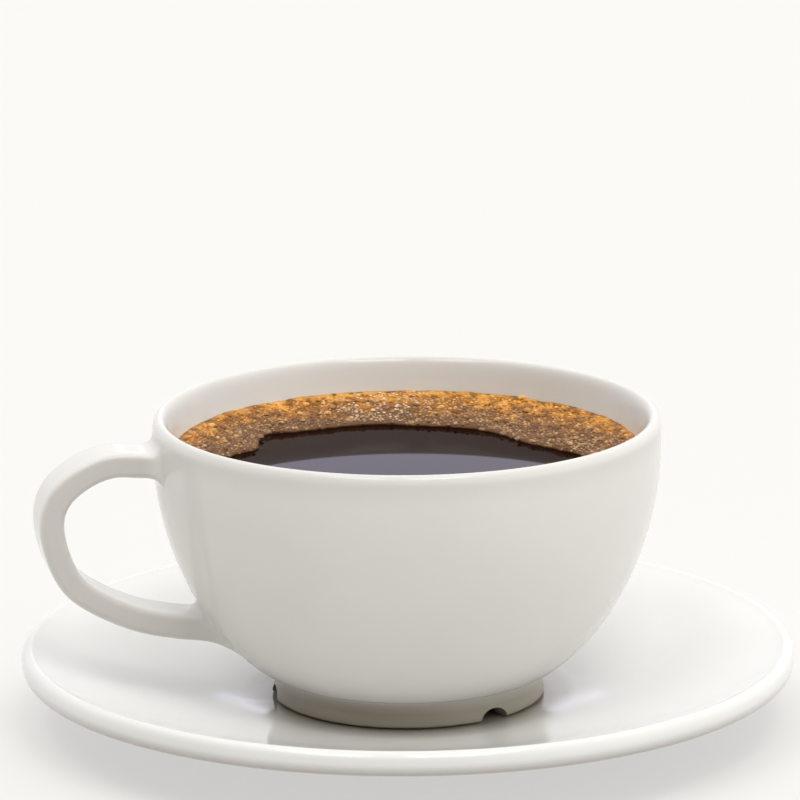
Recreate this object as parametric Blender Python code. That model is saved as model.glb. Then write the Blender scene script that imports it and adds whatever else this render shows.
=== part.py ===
"""Cup of black coffee with a ring of foam, in a porcelain cup that stands on its saucer.

Metres, +Z up. The origin is under the middle of the saucer, at the height of the table.
The handle points to -X and a little towards -Y. Profiles are (radius, height) pairs.
"""

import bisect
import math
import random

import bmesh
import bpy
from mathutils import Vector, noise

MM = 0.001
TOUCHING_GAP = 0.3 * MM
FINE_STEPS = 200
SHARP_EDGE = math.radians(40)

# Saucer
SAUCER_RADIUS = 77.5 * MM
SAUCER_HEIGHT = 16.6 * MM
SAUCER_LIP_WIDTH = 3.6 * MM
SAUCER_LIP_DEPTH = 5.0 * MM
WELL_HEIGHT = 5.9 * MM
WELL_RADIUS = 29.0 * MM
PLATE_BEND = [(42.0 * MM, 5.9 * MM), (62.0 * MM, 11.0 * MM)]
UNDERSIDE_BEND = [(67.0 * MM, 10.0 * MM), (55.0 * MM, 5.4 * MM)]
UNDERSIDE_HEIGHT = 3.2 * MM
SAUCER_FOOT_OUTER = 38.5 * MM
SAUCER_FOOT_INNER = 34.0 * MM
SAUCER_FOOT_RECESS = 2.3 * MM
SAUCER_FOOT_TAPER = 0.3 * MM
SAUCER_FOOT_BEVEL = 0.5 * MM
SAUCER_SEGMENTS = 72

# Bowl of the cup
CUP_FOOT_HEIGHT = WELL_HEIGHT + TOUCHING_GAP
CUP_RIM_HEIGHT = 63.45 * MM
LIP_OUTER_RADIUS = 50.65 * MM
LIP_WIDTH = 2.9 * MM
LIP_DEPTH = 5.0 * MM
LIP_BASE = CUP_RIM_HEIGHT - LIP_DEPTH / 2
INNER_WALL_BEND = [(42.5 * MM, 53.0 * MM), (46.5 * MM, 19.0 * MM)]
OUTER_WALL_BEND = [(51.8 * MM, 31.1 * MM), (33.2 * MM, 11.6 * MM)]
BOWL_WAIST_RADIUS = 26.5 * MM
BOWL_WAIST_HEIGHT = 11.2 * MM
WAIST_DROP = 0.9 * MM
WAIST_FLARE = 0.2 * MM
FLOOR_RADIUS = 16.0 * MM
FLOOR_HEIGHT = 16.3 * MM
FLOOR_DISH = 0.3 * MM
CUP_SEGMENTS = 72

# Foot ring of the cup, with its drainage notches
FOOT_RADIUS = 27.3 * MM
FOOT_INNER_RADIUS = 23.3 * MM
FOOT_ROUNDING = 0.5 * MM
RECESS_HEIGHT = 9.8 * MM
RECESS_CORNER = 0.7 * MM
NOTCH_COUNT = 3
NOTCH_FIRST_AZIMUTH = math.radians(-51.0)
NOTCH_WIDTH = 6.6 * MM
NOTCH_RISE = 2.3 * MM
NOTCH_OVERHANG = 2.0 * MM

# Handle: a flat strap swept along a path in a vertical plane through the axis
HANDLE_AZIMUTH = math.radians(192.0)
STRAP_WIDTH = 11.2 * MM
STRAP_THICKNESS = 4.9 * MM
STRAP_EDGE_RADIUS = 1.7 * MM
ROOT_FLARE_LENGTH = 5.5 * MM
ROOT_FLARE_THICKNESS = 2.6 * MM
ROOT_FLARE_WIDTH = 1.8 * MM
HANDLE_PATH = [
    (48.0 * MM, 56.2 * MM),
    (50.9 * MM, 56.6 * MM),
    (54.1 * MM, 56.9 * MM),
    (60.2 * MM, 57.2 * MM),
    (65.8 * MM, 55.2 * MM),
    (70.6 * MM, 51.2 * MM),
    (72.3 * MM, 46.0 * MM),
    (71.1 * MM, 39.1 * MM),
    (68.0 * MM, 33.1 * MM),
    (62.4 * MM, 28.9 * MM),
    (55.0 * MM, 25.5 * MM),
    (47.8 * MM, 23.7 * MM),
    (41.6 * MM, 22.8 * MM),
    (36.2 * MM, 21.8 * MM),
]
STATIONS_PER_SPAN = 2
CORNER_STEPS = 3

# Drink
COFFEE_LEVEL = 53.0 * MM
COFFEE_STEPS = 8
FOAM_RISE_AT_WALL = 3.8 * MM
FOAM_RISE_AT_EDGE = 0.9 * MM
FOAM_HOLLOW = 1.25
FOAM_NOSE_LENGTH = 0.7 * MM
FOAM_NOSE_RISE = 0.35 * MM
FOAM_LUMP = 0.22 * MM
FOAM_LUMP_PITCH = 5.0 * MM
FOAM_SECTIONS = 72
FOAM_STEPS_INWARD = (0.22, 0.48, 0.74, 0.93)
# Width of the foam ring from the wall inwards, by azimuth in degrees from +X
FOAM_WIDTHS = [
    (6, 9.5 * MM), (18, 13.7 * MM), (34, 17.0 * MM), (57, 15.3 * MM), (72, 15.1 * MM),
    (86, 15.2 * MM), (99, 13.3 * MM), (112, 12.8 * MM), (124, 12.2 * MM), (132, 11.0 * MM),
    (139, 8.4 * MM), (148, 10.2 * MM), (159, 13.0 * MM), (167, 10.6 * MM), (175, 7.8 * MM),
    (195, 7.2 * MM), (222, 5.4 * MM), (248, 6.6 * MM), (275, 7.6 * MM), (302, 6.0 * MM),
    (328, 6.3 * MM), (350, 7.6 * MM),
]

# Largest bubbles of the foam
BUBBLE_COUNT = 60
BUBBLE_TRIES = 6000
BUBBLE_SMALLEST = 0.55 * MM
BUBBLE_LARGEST = 1.15 * MM
BUBBLE_MARGIN = 0.5 * MM
BUBBLE_FLATNESS = 0.75
BUBBLE_ZONE = (0.1, 0.85)
BUBBLE_SEED = 7


def bezier(start, start_handle, end_handle, end, steps):
    """Points of a cubic curve, both ends included."""
    points = []
    for step in range(steps + 1):
        t = step / steps
        s = 1.0 - t
        weights = (s ** 3, 3 * s * s * t, 3 * s * t * t, t ** 3)
        corners = (start, start_handle, end_handle, end)
        points.append(tuple(sum(w * c[i] for w, c in zip(weights, corners)) for i in (0, 1)))
    return points


def arc(centre, radii, start_degrees, end_degrees, steps):
    """Points of an arc of an ellipse with two radii, across and up, both ends included."""
    points = []
    for step in range(steps + 1):
        angle = math.radians(start_degrees + (end_degrees - start_degrees) * step / steps)
        points.append((centre[0] + radii[0] * math.cos(angle), centre[1] + radii[1] * math.sin(angle)))
    return points


def catmull_rom(before, start, end, after, t):
    """Value between start and end on a smooth curve through four values."""
    linear = 0.5 * (end - before) * t
    square = (before - 2.5 * start + 2.0 * end - 0.5 * after) * t * t
    cube = (1.5 * (start - end) + 0.5 * (after - before)) * t ** 3
    return start + linear + square + cube


def smooth_path(knots, steps_per_span):
    """Points of a smooth curve through the knots, both ends included."""
    padded = [knots[0]] + list(knots) + [knots[-1]]
    points = []
    for quartet in zip(padded, padded[1:], padded[2:], padded[3:]):
        for step in range(steps_per_span):
            t = step / steps_per_span
            points.append(tuple(catmull_rom(*values, t) for values in zip(*quartet)))
    points.append(tuple(knots[-1]))
    return points


def cup_inner_wall(steps):
    """Inner wall from just under the lip down to the edge of the floor."""
    top = (LIP_OUTER_RADIUS - LIP_WIDTH, LIP_BASE)
    return bezier(top, *INNER_WALL_BEND, (FLOOR_RADIUS, FLOOR_HEIGHT), steps)


def cup_outer_wall(steps):
    """Outer wall from just under the lip down to the waist over the foot ring."""
    waist = (BOWL_WAIST_RADIUS, BOWL_WAIST_HEIGHT)
    return bezier((LIP_OUTER_RADIUS, LIP_BASE), *OUTER_WALL_BEND, waist, steps)


def radius_at(height, wall):
    """Radius of a wall, given as points from top to bottom, at a height."""
    depths = [-z for _, z in wall]
    index = min(max(bisect.bisect_left(depths, -height), 1), len(wall) - 1)
    (r0, z0), (r1, z1) = wall[index - 1], wall[index]
    return r0 + (r1 - r0) * (z0 - height) / (z0 - z1)


def inner_radius_at(height):
    """Radius of the cup's inner wall at a height."""
    return radius_at(height, cup_inner_wall(FINE_STEPS))


def outer_radius_at(height):
    """Radius of the cup's outer wall at a height."""
    return radius_at(height, cup_outer_wall(FINE_STEPS))


def new_object(name, mesh, material=None):
    """Object in the scene, with one material."""
    thing = bpy.data.objects.new(name, mesh)
    bpy.context.scene.collection.objects.link(thing)
    if material:
        mesh.materials.append(material)
    return thing


def mesh_from(bm, name):
    """Closed mesh with its faces pointing out, shaded smooth but for its sharp edges."""
    bm.normal_update()
    bmesh.ops.recalc_face_normals(bm, faces=bm.faces)
    mesh = bpy.data.meshes.new(name)
    bm.to_mesh(mesh)
    bm.free()
    mesh.shade_smooth()
    mesh.set_sharp_from_angle(angle=SHARP_EDGE)
    return mesh


def turned(name, profile, segments):
    """Solid turned about the axis from a profile that starts and ends on it."""
    bm = bmesh.new()
    verts = [bm.verts.new((radius, 0.0, height)) for radius, height in profile]
    edges = [bm.edges.new(pair) for pair in zip(verts, verts[1:])]
    bmesh.ops.spin(bm, geom=verts + edges, cent=(0, 0, 0), axis=(0, 0, 1),
                   angle=math.tau, steps=segments, use_merge=True)
    bmesh.ops.remove_doubles(bm, verts=bm.verts, dist=0.01 * MM)
    return mesh_from(bm, name)


def skin_between(bm, ring, following):
    """Quads between two closed rings of the same number of points."""
    for index in range(len(ring)):
        after = (index + 1) % len(ring)
        bm.faces.new((ring[index], ring[after], following[after], following[index]))


def glazed(name, color, roughness):
    """Plain coloured material."""
    material = bpy.data.materials.new(name)
    material.use_nodes = True
    shader = material.node_tree.nodes["Principled BSDF"]
    shader.inputs["Base Color"].default_value = (*color, 1.0)
    shader.inputs["Roughness"].default_value = roughness
    shader.inputs["Metallic"].default_value = 0.0
    return material


def make_saucer(material):
    """Saucer: a flat well, a gently rising plate, a rounded lip and a foot ring."""
    radii = (SAUCER_LIP_WIDTH / 2, SAUCER_LIP_DEPTH / 2)
    lip = arc((SAUCER_RADIUS - radii[0], SAUCER_HEIGHT - radii[1]), radii, 120, -60, 6)
    plate = bezier((WELL_RADIUS, WELL_HEIGHT), *PLATE_BEND, lip[0], 6)
    underside = bezier(lip[-1], *UNDERSIDE_BEND, (SAUCER_FOOT_OUTER, UNDERSIDE_HEIGHT), 3)
    outer_side = SAUCER_FOOT_OUTER - SAUCER_FOOT_TAPER
    inner_side = SAUCER_FOOT_INNER + SAUCER_FOOT_TAPER
    foot = [
        (outer_side, SAUCER_FOOT_BEVEL),
        (outer_side - SAUCER_FOOT_BEVEL, 0.0),
        (inner_side + SAUCER_FOOT_BEVEL, 0.0),
        (inner_side, SAUCER_FOOT_BEVEL),
        (SAUCER_FOOT_INNER, SAUCER_FOOT_RECESS),
    ]
    profile = [(0.0, WELL_HEIGHT)] + plate[:-1] + lip + underside[1:] + foot
    profile.append((0.0, SAUCER_FOOT_RECESS))
    new_object("saucer", turned("saucer", profile, SAUCER_SEGMENTS), material)


def cup_profile():
    """Half section of the bowl: inner floor, wall, lip, outer wall and foot ring."""
    inner = list(reversed(cup_inner_wall(8)))
    lip = arc((LIP_OUTER_RADIUS - LIP_WIDTH / 2, LIP_BASE), (LIP_WIDTH / 2, LIP_DEPTH / 2), 180, 0, 8)
    outer = cup_outer_wall(11)
    foot = [
        (BOWL_WAIST_RADIUS + WAIST_FLARE, BOWL_WAIST_HEIGHT - WAIST_DROP),
        (FOOT_RADIUS, CUP_FOOT_HEIGHT + FOOT_ROUNDING),
        (FOOT_RADIUS - FOOT_ROUNDING, CUP_FOOT_HEIGHT),
        (FOOT_INNER_RADIUS + FOOT_ROUNDING, CUP_FOOT_HEIGHT),
        (FOOT_INNER_RADIUS, CUP_FOOT_HEIGHT + FOOT_ROUNDING),
        (FOOT_INNER_RADIUS - RECESS_CORNER, RECESS_HEIGHT - RECESS_CORNER),
        (FOOT_INNER_RADIUS - 2 * RECESS_CORNER, RECESS_HEIGHT),
    ]
    floor_centre = (0.0, FLOOR_HEIGHT - FLOOR_DISH)
    return [floor_centre] + inner[:-1] + lip + outer[1:] + foot + [(0.0, RECESS_HEIGHT)]


def strap_section(width, thickness):
    """Rounded rectangle of the strap, as (across, out) points."""
    radius = STRAP_EDGE_RADIUS
    half_width = width / 2 - radius
    half_thickness = thickness / 2 - radius
    corners = [(1, 1, 0), (-1, 1, 90), (-1, -1, 180), (1, -1, 270)]
    points = []
    for side, face, start in corners:
        centre = (side * half_width, face * half_thickness)
        points += arc(centre, (radius, radius), start, start + 90, CORNER_STEPS)
    return points


def root_flare(radius, height):
    """How far the strap swells: 1 at the bowl's wall, 0 past the flare's length."""
    distance = max(0.0, radius - outer_radius_at(height))
    remaining = max(0.0, 1.0 - distance / ROOT_FLARE_LENGTH)
    return remaining * remaining


def make_handle():
    """Strap swept along the handle's path, both ends sunk in the wall of the bowl."""
    path = smooth_path(HANDLE_PATH, STATIONS_PER_SPAN)
    outward = Vector((math.cos(HANDLE_AZIMUTH), math.sin(HANDLE_AZIMUTH), 0.0))
    across = Vector((-outward.y, outward.x, 0.0))
    bm = bmesh.new()
    rings = []
    for index, (radius, height) in enumerate(path):
        before = path[max(index - 1, 0)]
        after = path[min(index + 1, len(path) - 1)]
        tangent = Vector((after[0] - before[0], after[1] - before[1])).normalized()
        normal = outward * -tangent.y + Vector((0.0, 0.0, tangent.x))
        flare = root_flare(radius, height)
        section = strap_section(STRAP_WIDTH + flare * ROOT_FLARE_WIDTH,
                                STRAP_THICKNESS + flare * ROOT_FLARE_THICKNESS)
        centre = outward * radius + Vector((0.0, 0.0, height))
        rings.append([bm.verts.new(centre + across * u + normal * v) for u, v in section])
    for ring, following in zip(rings, rings[1:]):
        skin_between(bm, ring, following)
    bm.faces.new(rings[0])
    bm.faces.new(rings[-1])
    return new_object("handle", mesh_from(bm, "handle"))


def make_notch_cutter(index):
    """Low arch across the foot ring."""
    length = FOOT_RADIUS - FOOT_INNER_RADIUS + 2 * NOTCH_OVERHANG
    bm = bmesh.new()
    bmesh.ops.create_cone(bm, cap_ends=True, segments=20, radius1=NOTCH_WIDTH / 2,
                          radius2=NOTCH_WIDTH / 2, depth=length)
    for vert in bm.verts:
        vert.co = Vector((vert.co.z, vert.co.y, -vert.co.x * NOTCH_RISE / (NOTCH_WIDTH / 2)))
    cutter = new_object(f"notch_cutter_{index}", mesh_from(bm, "notch_cutter"))
    azimuth = NOTCH_FIRST_AZIMUTH + index * math.tau / NOTCH_COUNT
    middle = (FOOT_RADIUS + FOOT_INNER_RADIUS) / 2
    cutter.location = (middle * math.cos(azimuth), middle * math.sin(azimuth), CUP_FOOT_HEIGHT)
    cutter.rotation_euler = (0.0, 0.0, azimuth)
    return cutter


def use_as_tool(thing, target, operation):
    """Boolean with a guide object that stays hidden in the scene."""
    thing.hide_render = True
    thing.display_type = 'WIRE'
    modifier = target.modifiers.new(thing.name, 'BOOLEAN')
    modifier.operation = operation
    modifier.solver = 'EXACT'
    modifier.object = thing


def make_cup(material):
    """Bowl with its foot ring, the handle fused to it and the notches cut."""
    cup = new_object("cup", turned("cup", cup_profile(), CUP_SEGMENTS), material)
    use_as_tool(make_handle(), cup, 'UNION')
    for index in range(NOTCH_COUNT):
        use_as_tool(make_notch_cutter(index), cup, 'DIFFERENCE')


def make_coffee(material):
    """Drink: it fills the bowl up to its level, a hair clear of the wall."""
    wall = cup_inner_wall(FINE_STEPS)
    profile = [(0.0, COFFEE_LEVEL), (inner_radius_at(COFFEE_LEVEL) - TOUCHING_GAP, COFFEE_LEVEL)]
    for index in range(0, FINE_STEPS, FINE_STEPS // COFFEE_STEPS):
        (radius, height), (next_radius, next_height) = wall[index], wall[index + 1]
        if height < COFFEE_LEVEL - MM:
            slope = Vector((next_radius - radius, next_height - height)).normalized()
            profile.append((radius + slope.y * TOUCHING_GAP, height - slope.x * TOUCHING_GAP))
    profile.append((FLOOR_RADIUS, FLOOR_HEIGHT + TOUCHING_GAP))
    profile.append((0.0, FLOOR_HEIGHT + TOUCHING_GAP))
    new_object("coffee", turned("coffee", profile, CUP_SEGMENTS), material)


def foam_width(azimuth):
    """Width of the foam ring at an azimuth, on a smooth curve through the stated widths."""
    degrees = math.degrees(azimuth) % 360.0
    angles = [angle for angle, _ in FOAM_WIDTHS]
    after = bisect.bisect_right(angles, degrees)
    count = len(FOAM_WIDTHS)
    w0, w1, w2, w3 = (FOAM_WIDTHS[(after + step) % count][1] for step in (-2, -1, 0, 1))
    low = angles[(after - 1) % count]
    span = (angles[after % count] - low) % 360.0
    return catmull_rom(w0, w1, w2, w3, ((degrees - low) % 360.0) / span)


def foam_height(azimuth, inward):
    """Height of the foam's top, where inward runs from 0 at the wall to 1 at its edge."""
    fall = (1.0 - inward) ** FOAM_HOLLOW
    rise = FOAM_RISE_AT_EDGE + (FOAM_RISE_AT_WALL - FOAM_RISE_AT_EDGE) * fall
    radius = inner_radius_at(COFFEE_LEVEL) - inward * foam_width(azimuth)
    place = Vector((radius * math.cos(azimuth), radius * math.sin(azimuth), 0.0))
    return COFFEE_LEVEL + rise + FOAM_LUMP * noise.noise(place / FOAM_LUMP_PITCH) * inward


def make_foam_ring(material):
    """Ring of foam round the wall: high at the wall, thin at its uneven inner edge."""
    underside = COFFEE_LEVEL + TOUCHING_GAP
    foot_radius = inner_radius_at(underside) - TOUCHING_GAP
    top_radius = inner_radius_at(COFFEE_LEVEL + FOAM_RISE_AT_WALL) - TOUCHING_GAP
    bm = bmesh.new()
    rings = []
    for index in range(FOAM_SECTIONS):
        azimuth = math.tau * index / FOAM_SECTIONS
        width = foam_width(azimuth)
        nose = inner_radius_at(COFFEE_LEVEL) - width
        section = [(nose + FOAM_NOSE_LENGTH, underside), (foot_radius, underside)]
        section.append((top_radius, COFFEE_LEVEL + FOAM_RISE_AT_WALL))
        for inward in FOAM_STEPS_INWARD:
            radius = top_radius + (nose - top_radius) * inward
            section.append((radius, foam_height(azimuth, inward)))
        section.append((nose, underside + FOAM_NOSE_RISE))
        rings.append([bm.verts.new((r * math.cos(azimuth), r * math.sin(azimuth), z))
                      for r, z in section])
    for index, ring in enumerate(rings):
        skin_between(bm, ring, rings[(index + 1) % FOAM_SECTIONS])
    return new_object("foam", mesh_from(bm, "foam"), material)


def bubble_places():
    """Places and sizes of the largest bubbles, biggest where the ring is broad."""
    draw = random.Random(BUBBLE_SEED)
    broadest = max(width for _, width in FOAM_WIDTHS)
    places = []
    for _ in range(BUBBLE_TRIES):
        azimuth = draw.uniform(0.0, math.tau)
        inward = draw.uniform(*BUBBLE_ZONE)
        width = foam_width(azimuth)
        size = BUBBLE_SMALLEST + (BUBBLE_LARGEST - BUBBLE_SMALLEST) * draw.random() ** 2 * width / broadest
        margin = size + BUBBLE_MARGIN
        if inward * width < margin + TOUCHING_GAP or (1.0 - inward) * width < margin:
            continue
        radius = inner_radius_at(COFFEE_LEVEL) - inward * width
        place = Vector((radius * math.cos(azimuth), radius * math.sin(azimuth),
                        foam_height(azimuth, inward)))
        if all((place - other).length > size + other_size + BUBBLE_MARGIN / 2
               for other, other_size in places):
            places.append((place, size))
        if len(places) == BUBBLE_COUNT:
            break
    return places


def fuse_bubbles(foam):
    """Joins the bubbles to the foam with one union and removes their objects."""
    bubbles = bpy.data.collections.new("bubbles")
    bpy.context.scene.collection.children.link(bubbles)
    for index, (place, size) in enumerate(bubble_places()):
        bm = bmesh.new()
        bmesh.ops.create_uvsphere(bm, u_segments=6, v_segments=4, radius=size)
        bmesh.ops.scale(bm, vec=(1.0, 1.0, BUBBLE_FLATNESS), verts=bm.verts)
        bmesh.ops.translate(bm, vec=place, verts=bm.verts)
        bubble = bpy.data.objects.new(f"bubble_{index}", mesh_from(bm, "bubble"))
        bubbles.objects.link(bubble)
    modifier = foam.modifiers.new("bubbles", 'BOOLEAN')
    modifier.operation = 'UNION'
    modifier.solver = 'EXACT'
    modifier.operand_type = 'COLLECTION'
    modifier.collection = bubbles
    depsgraph = bpy.context.evaluated_depsgraph_get()
    fused = bpy.data.meshes.new_from_object(foam.evaluated_get(depsgraph))
    foam.modifiers.remove(modifier)
    foam.data = fused
    for bubble in list(bubbles.objects):
        bpy.data.objects.remove(bubble)
    bpy.data.collections.remove(bubbles)


def main():
    """Builds the object from the saucer up."""
    for thing in list(bpy.data.objects):
        bpy.data.objects.remove(thing)
    porcelain = glazed("white_porcelain", (0.84, 0.83, 0.81), 0.12)
    make_saucer(porcelain)
    make_cup(glazed("white_porcelain_cup", (0.84, 0.83, 0.81), 0.12))
    make_coffee(glazed("black_coffee", (0.022, 0.010, 0.006), 0.03))
    fuse_bubbles(make_foam_ring(glazed("coffee_foam", (0.42, 0.19, 0.06), 0.45)))


main()
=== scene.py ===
"""Looks of a cup of black coffee on its saucer: glazed porcelain, the drink and its ring of foam.

Metres, +Z up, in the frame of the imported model. The handle points to -X and a little towards
the camera, which looks along +Y and down. Profiles are (radius, height) pairs. The shapes follow
the sizes of the solids, with a smoother inner lip and crisper edges on the strap. Colours are
linear red, green, blue and alpha.
"""

import math

import bmesh
import bpy
import numpy as np
from mathutils import Matrix, Vector, noise


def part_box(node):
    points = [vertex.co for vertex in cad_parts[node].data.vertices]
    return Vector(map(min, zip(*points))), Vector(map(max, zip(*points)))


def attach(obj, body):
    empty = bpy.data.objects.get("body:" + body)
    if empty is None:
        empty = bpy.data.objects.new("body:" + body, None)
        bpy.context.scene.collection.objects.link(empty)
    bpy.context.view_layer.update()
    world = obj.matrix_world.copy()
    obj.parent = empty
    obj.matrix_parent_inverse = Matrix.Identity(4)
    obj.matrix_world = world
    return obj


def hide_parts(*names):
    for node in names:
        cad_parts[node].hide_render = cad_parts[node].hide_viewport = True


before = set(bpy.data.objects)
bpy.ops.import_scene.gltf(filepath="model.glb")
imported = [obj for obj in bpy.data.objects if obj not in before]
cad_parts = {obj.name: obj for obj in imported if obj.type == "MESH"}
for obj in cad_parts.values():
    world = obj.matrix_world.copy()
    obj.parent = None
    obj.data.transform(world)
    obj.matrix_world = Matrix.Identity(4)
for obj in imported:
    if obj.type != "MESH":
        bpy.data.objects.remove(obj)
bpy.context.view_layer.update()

MM = 0.001

# Sizes read from the frame
SAUCER_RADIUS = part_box("saucer")[1].x
SAUCER_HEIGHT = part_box("saucer")[1].z
RIM_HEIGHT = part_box("cup")[1].z
CUP_FOOT_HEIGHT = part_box("cup")[0].z
LIP_OUTER_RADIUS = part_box("cup")[1].x
COFFEE_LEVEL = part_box("coffee")[1].z

# Meshes
TURNED_SEGMENTS = 288
MERGE_DISTANCE = 0.002 * MM
SHARP_ANGLE = math.radians(45.0)

# Saucer
SAUCER_LIP_WIDTH = 3.6 * MM
SAUCER_LIP_DEPTH = 5.0 * MM
WELL_HEIGHT = 5.9 * MM
WELL_RADIUS = 29.0 * MM
PLATE_BEND = [(42.0 * MM, 5.9 * MM), (62.0 * MM, 11.0 * MM)]
UNDERSIDE_BEND = [(67.0 * MM, 10.0 * MM), (55.0 * MM, 5.4 * MM)]
UNDERSIDE_HEIGHT = 3.2 * MM
SAUCER_FOOT_OUTER = 38.5 * MM
SAUCER_FOOT_INNER = 34.0 * MM
SAUCER_FOOT_ROUNDING = 0.8 * MM
SAUCER_FOOT_TAPER = 0.3 * MM
SAUCER_FOOT_RECESS = 2.3 * MM
SAUCER_FOOT_BEVEL = 0.5 * MM

# Bowl of the cup
LIP_WIDTH = 2.9 * MM
LIP_DEPTH = 5.0 * MM
LIP_BASE = RIM_HEIGHT - LIP_DEPTH / 2
LIP_BLEND = 5.0 * MM
LIP_BLEND_PULL = 0.55
LIP_CROWN = 1.3 * MM
INNER_WALL_BEND = [(42.5 * MM, 53.0 * MM), (46.5 * MM, 19.0 * MM)]
OUTER_WALL_BEND = [(51.8 * MM, 31.1 * MM), (33.2 * MM, 11.6 * MM)]
WAIST_RADIUS = 26.5 * MM
WAIST_HEIGHT = 11.2 * MM
FLOOR_RADIUS = 16.0 * MM
FLOOR_HEIGHT = 16.3 * MM
FLOOR_DISH = [(0.0, 16.0 * MM), (8.0 * MM, 16.06 * MM)]
FOOT_RADIUS = 27.3 * MM
FOOT_INNER_RADIUS = 23.3 * MM
FOOT_ROUNDING = 0.5 * MM
FOOT_NECK_BEND = [(25.9 * MM, 10.8 * MM), (26.8 * MM, 9.8 * MM)]
RECESS_HEIGHT = 9.8 * MM
RECESS_BEND = [(22.8 * MM, 8.8 * MM), (22.4 * MM, 9.8 * MM)]
RECESS_EDGE_RADIUS = 20.7 * MM
RECESS_WALL_FOOT = 1.0 * MM
NOTCH_COUNT = 3
NOTCH_FIRST_AZIMUTH = math.radians(-51.0)
NOTCH_WIDTH = 6.6 * MM
NOTCH_RISE = 2.3 * MM
NOTCH_OVERCUT = 4.0 * MM
NOTCH_SEGMENTS = 48

# Handle
HANDLE_AZIMUTH = math.radians(192.0)
STRAP_WIDTH = 11.2 * MM
STRAP_THICKNESS = 4.9 * MM
STRAP_EDGE_RADIUS = 1.3 * MM
HANDLE_PATH = [
    (48.0 * MM, 56.2 * MM), (50.9 * MM, 56.6 * MM), (54.1 * MM, 56.9 * MM), (60.2 * MM, 57.2 * MM),
    (65.8 * MM, 55.2 * MM), (70.6 * MM, 51.2 * MM), (72.3 * MM, 46.0 * MM), (71.1 * MM, 39.1 * MM),
    (68.0 * MM, 33.1 * MM), (62.4 * MM, 28.9 * MM), (55.0 * MM, 25.5 * MM), (47.8 * MM, 23.7 * MM),
    (41.6 * MM, 22.8 * MM), (36.2 * MM, 21.8 * MM),
]
FILLET_ON_FACE = 3.0 * MM
FILLET_ON_SIDE = 1.3 * MM
FILLET_TAIL = 6.0 * MM
FILLET_STEPS = 12
STRAP_STEPS_PER_SPAN = 12
STRAP_STEPS_PER_CORNER = 7
STRAP_STEPS_PER_FACE = 5
ROOT_DEPTH = 1.2 * MM
SUNK_INTO_WALL = 0.02 * MM

# Foam
FOAM_RISE_AT_WALL = 3.8 * MM
FOAM_RISE_AT_EDGE = 0.9 * MM
FOAM_HOLLOW = 1.25
FOAM_SECTIONS = 600
FOAM_STEPS = 22
FOAM_LUMP = 0.22 * MM
FOAM_LUMP_PITCH = 5.0 * MM
FOAM_GRAIN = 0.10 * MM
FOAM_GRAIN_PITCH = 1.3 * MM
EDGE_WAVE = 0.35 * MM
EDGE_WAVES_ROUND = 14.0
EDGE_GRAIN = 0.2 * MM
EDGE_GRAIN_FINENESS = 3.1
FOAM_UNDERCUT = 0.8 * MM
FOAM_SOAK = 0.1 * MM
FOAM_TOP_SHARE = 0.95
FOAM_FRONT = [(0.12 * MM, 0.55 * MM), (0.0, 0.2 * MM)]
LATHER_SPAN = (0.02, 0.08, 0.94, 0.97)
BUBBLE_LAYERS = [
    {"density": 1.0e5, "spacing": 2.4 * MM, "smallest": 0.50 * MM, "largest": 0.95 * MM,
     "segments": 12, "rings": 8, "seed": 11},
    {"density": 1.8e6, "spacing": 0.90 * MM, "smallest": 0.30 * MM, "largest": 0.52 * MM,
     "segments": 8, "rings": 6, "seed": 23},
    {"density": 5.0e6, "spacing": 0.58 * MM, "smallest": 0.18 * MM, "largest": 0.32 * MM,
     "segments": 6, "rings": 4, "seed": 37},
]
BUBBLE_SIZE_SKEW = 2.2
SIZE_SEED_OFFSET = 100.0
DOME_CUT = -0.3
DOME_FLATNESS = 0.70
FOAM_WIDTHS = [
    (6, 9.5 * MM), (18, 13.7 * MM), (34, 17.0 * MM), (57, 15.3 * MM), (72, 15.1 * MM),
    (86, 15.2 * MM), (99, 13.3 * MM), (112, 12.8 * MM), (124, 12.2 * MM), (132, 11.0 * MM),
    (139, 8.4 * MM), (148, 10.2 * MM), (159, 13.0 * MM), (167, 10.6 * MM), (175, 7.8 * MM),
    (195, 7.2 * MM), (222, 5.4 * MM), (248, 6.6 * MM), (275, 7.6 * MM), (302, 6.0 * MM),
    (328, 6.3 * MM), (350, 7.6 * MM),
]

# Drink
WETTING_CLIMB = 0.12 * MM
WETTING_REACH = 0.6 * MM
COFFEE_UNDER_FOAM = 0.5 * MM
CLIMB_UNDER_FOAM = 0.096 * MM
DROP_AT_WALL = 0.05 * MM
COFFEE_CLEARANCE = 0.2 * MM
COFFEE_STEPS = 30

# Glazes: pooled and thin tones, roughness range, reflectivity, and the painted shade that greys the cup's
# foot and the saucer's well round and under it
SAUCER_GLAZE = {
    "thin": (0.826, 0.823, 0.810, 1.0), "pooled": (0.806, 0.803, 0.790, 1.0), "gloss": (0.10, 0.15),
    "sheen": 0.52, "foot_painted_shade": (0.42, 0.38, 0.32, 1.0), "foot_shade_span": (34.0 * MM, 27.0 * MM),
    "foot_shade_by": "radius",
}
# Painted shade: the cup's whites are a darker copy of the saucer's, for the shade on the bowl
CUP_GLAZE_SHADED = {
    "thin": (0.768, 0.753, 0.732, 1.0), "pooled": (0.742, 0.728, 0.702, 1.0), "gloss": (0.07, 0.12),
    "sheen": 0.32, "foot_painted_shade": (0.44, 0.40, 0.33, 1.0), "foot_shade_span": (12.6 * MM, 9.0 * MM),
    "foot_shade_by": "height",
}
GLAZE_SPECK = (0.42, 0.36, 0.28, 1.0)
# Painted shade: the grey mixed in by the mesh's shade values, and its strength on the strap's sides and in
# the line under the lip
PAINTED_SHADE_GREY = (0.50, 0.470, 0.445, 1.0)
GLAZE_WAVES = 0.35 * MM
GLAZE_PEEL = 0.012 * MM
STRAP_SIDE_PAINTED_SHADE = 0.55
UNDER_LIP_PAINTED_SHADE = 0.20
UNDER_LIP_SHADE_LINE = [LIP_BASE + offset * MM for offset in (-3.4, -0.6, 0.4, 1.2)]

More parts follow.
